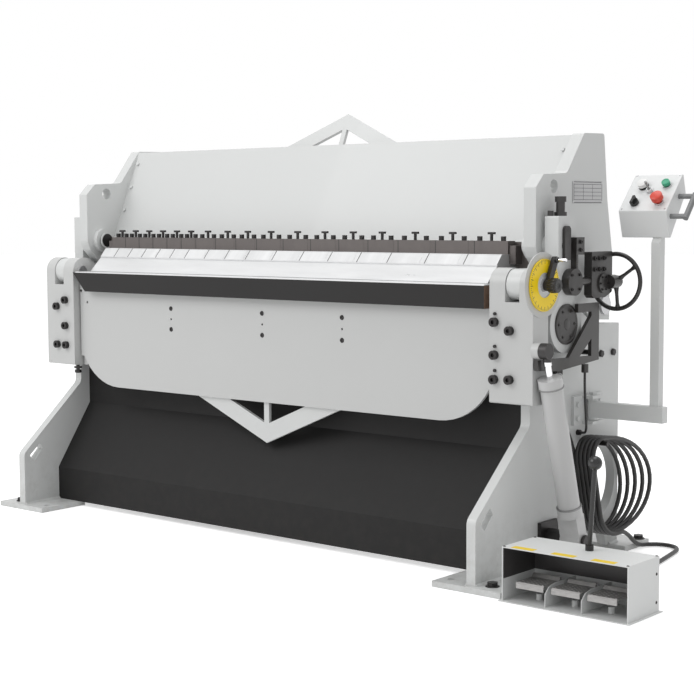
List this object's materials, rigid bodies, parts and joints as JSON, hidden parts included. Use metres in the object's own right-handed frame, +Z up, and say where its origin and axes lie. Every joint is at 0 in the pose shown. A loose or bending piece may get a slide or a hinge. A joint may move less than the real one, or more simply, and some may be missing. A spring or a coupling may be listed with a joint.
{
  "type": "hydraulic sheet metal brake",
  "caption": "Hydraulic box and pan folder for sheet metal, with segmented fingers, folding apron, pendant controls and a pedal box.",
  "frame": {"origin": "on the floor, at the centre of the four anchor holes in the foot plates", "axes": "+X along the machine towards the end with the dial and controls, +Y to the back, +Z up"},
  "size_m": [2.7251, 0.946, 1.4599],
  "materials": {
    "light_paint": "semi-gloss light grey paint",
    "grey_paint": "semi-gloss grey paint",
    "black_paint": "satin black paint",
    "bare_steel": "ground bright steel",
    "browned_steel": "dark browned steel",
    "dial_yellow": "gloss yellow",
    "black_plastic": "glossy black",
    "red_plastic": "glossy red",
    "green_plastic": "glossy green",
    "white_plastic": "matte white",
    "cable_rubber": "dull black"
  },
  "bodies": {
    "frame": {"end_frame_left": "grey_paint", "end_frame_right": "grey_paint", "bed_beam": "grey_paint", "bed_rail": "bare_steel", "rear_beam": "grey_paint", "front_panel": "black_paint", "oil_tank": "grey_paint", "pump_motor": "black_paint", "valve_block": "bare_steel", "pivot_pins": "bare_steel", "angle_dial": "dial_yellow", "switch_frame": "black_paint", "pendant_bracket": "light_paint", "frame_fasteners": "black_paint", "clamp_cylinder": "grey_paint", "pedal_box": "light_paint", "carry_handle": "black_plastic", "cable_riser": "cable_rubber", "cable_coil": "cable_rubber", "pedal_cable": "cable_rubber", "sensor_cable": "cable_rubber"},
    "top_leaf": {"upper_frame_left": "grey_paint", "upper_frame_right": "grey_paint", "front_sheet": "light_paint", "top_truss": "grey_paint", "clamp_beam": "browned_steel", "clamp_blocks": "browned_steel", "fingers": "bare_steel", "nose_bar": "bare_steel", "finger_screws": "black_paint", "link_pins": "grey_paint"},
    "left_link": {"link_left": "light_paint", "link_fittings_left": "black_paint"},
    "right_link": {"link_right": "light_paint", "link_fittings_right": "black_paint", "adjuster_drive": "black_paint", "gearbox": "black_paint"},
    "handwheel": {"handwheel": "black_paint"},
    "cross_shaft": {"cross_shaft": "bare_steel"},
    "clamp_rod": {"clamp_rod": "bare_steel"},
    "apron": {"apron_plate": "light_paint", "apron_bar": "black_paint", "folding_rail": "bare_steel", "apron_truss": "light_paint", "apron_bracket_left": "light_paint", "apron_bracket_right": "light_paint", "bracket_screws": "black_paint"},
    "bend_cylinder": {"bend_cylinder": "light_paint"},
    "bend_rod": {"bend_rod": "bare_steel"},
    "stop_lever": {"stop_lever": "black_plastic"},
    "pendant": {"pendant_arm": "light_paint", "control_box": "light_paint"},
    "emergency_stop": {"emergency_stop": "red_plastic"},
    "green_button": {"green_button": "green_plastic"},
    "white_button": {"white_button": "white_plastic"},
    "selector_switch": {"selector_switch": "black_plastic"},
    "toggle_switch": {"toggle_switch": "bare_steel"},
    "pedal_left": {"pedal_left": "bare_steel"},
    "pedal_middle": {"pedal_middle": "bare_steel"},
    "pedal_right": {"pedal_right": "bare_steel"}
  },
  "joints": [
    {"name": "leaf_lift", "type": "hinge", "parent": "frame", "child": "top_leaf", "pos_m": [0, 0.255, 0.805], "axis": [-1, 0, 0], "range_deg": [0, 7.8]},
    {"name": "left_link_swing", "type": "hinge", "parent": "top_leaf", "child": "left_link", "pos_m": [-1.0861, -0.076, 1.003], "axis": [-1, 0, 0], "range_deg": [-1.57, 0]},
    {"name": "right_link_swing", "type": "hinge", "parent": "top_leaf", "child": "right_link", "pos_m": [1.0861, -0.076, 1.003], "axis": [-1, 0, 0], "range_deg": [-1.57, 0]},
    {"name": "handwheel_turn", "type": "hinge", "parent": "right_link", "child": "handwheel", "pos_m": [1.1431, 0.163, 0.887], "axis": [0, -1, 0], "continuous": true},
    {"name": "cross_shaft_turn", "type": "hinge", "parent": "frame", "child": "cross_shaft", "pos_m": [0, -0.03998, 0.7824], "axis": [-1, 0, 0], "range_deg": [0, 67.6]},
    {"name": "clamp_rod_slide", "type": "slide", "parent": "frame", "child": "clamp_rod", "axis": [0, 0, -1], "range_m": [0, 0.099]},
    {"name": "apron_fold", "type": "hinge", "parent": "frame", "child": "apron", "pos_m": [0, -0.211, 0.889], "axis": [-1, 0, 0], "range_deg": [0, 135]},
    {"name": "bend_cylinder_tilt", "type": "hinge", "parent": "frame", "child": "bend_cylinder", "pos_m": [1.1501, -0.084, 0.105], "axis": [-1, 0, 0], "range_deg": [0, 1.74]},
    {"name": "bend_rod_slide", "type": "slide", "parent": "bend_cylinder", "child": "bend_rod", "axis": [0, -0.2701, 0.9628], "range_m": [0, 0.3616]},
    {"name": "stop_lever_set", "type": "hinge", "parent": "frame", "child": "stop_lever", "pos_m": [1.1311, -0.211, 0.889], "axis": [1, 0, 0], "range_deg": [0, 55]},
    {"name": "pendant_swivel", "type": "hinge", "parent": "frame", "child": "pendant", "pos_m": [1.0781, 0.14, 0.48], "axis": [0, 0, 1], "range_deg": [-40, 45]},
    {"name": "emergency_stop_press", "type": "slide", "parent": "pendant", "child": "emergency_stop", "axis": [0, 0.7355, -0.6775], "range_m": [0, 0.005], "stiffness_N_per_m": 900, "springref_m": -0.004},
    {"name": "green_button_press", "type": "slide", "parent": "pendant", "child": "green_button", "axis": [0, 0.7355, -0.6775], "range_m": [0, 0.004], "stiffness_N_per_m": 700, "springref_m": -0.003},
    {"name": "white_button_press", "type": "slide", "parent": "pendant", "child": "white_button", "axis": [0, 0.7355, -0.6775], "range_m": [0, 0.004], "stiffness_N_per_m": 700, "springref_m": -0.003},
    {"name": "selector_turn", "type": "hinge", "parent": "pendant", "child": "selector_switch", "pos_m": [1.2251, 0.131, 1.1298], "axis": [0, -0.7355, 0.6775], "range_deg": [-45, 45]},
    {"name": "toggle_tip", "type": "hinge", "parent": "pendant", "child": "toggle_switch", "pos_m": [1.2581, 0.16261, 1.17002], "axis": [1, 0, 0], "range_deg": [-12, 12], "stiffness_Nm_per_rad": 0.6},
    {"name": "pedal_left_press", "type": "hinge", "parent": "frame", "child": "pedal_left", "pos_m": [1.243, -0.342, 0.04], "axis": [1, 0, 0], "range_deg": [0, 8], "stiffness_Nm_per_rad": 8, "springref_deg": -11.46},
    {"name": "pedal_middle_press", "type": "hinge", "parent": "frame", "child": "pedal_middle", "pos_m": [1.361, -0.342, 0.04], "axis": [1, 0, 0], "range_deg": [0, 8], "stiffness_Nm_per_rad": 8, "springref_deg": -11.46},
    {"name": "pedal_right_press", "type": "hinge", "parent": "frame", "child": "pedal_right", "pos_m": [1.478, -0.342, 0.04], "axis": [1, 0, 0], "range_deg": [0, 8], "stiffness_Nm_per_rad": 8, "springref_deg": -11.46}
  ],
  "couplings": [
    {"joint": "left_link_swing", "follows": "leaf_lift", "ratio": -0.2},
    {"joint": "right_link_swing", "follows": "leaf_lift", "ratio": -0.2},
    {"joint": "cross_shaft_turn", "follows": "leaf_lift", "ratio": 8.66},
    {"joint": "clamp_rod_slide", "follows": "leaf_lift", "m_per_rad": 0.727},
    {"joint": "bend_cylinder_tilt", "follows": "apron_fold", "ratio": 0.012815},
    {"joint": "bend_rod_slide", "follows": "apron_fold", "m_per_rad": 0.15338}
  ]
}
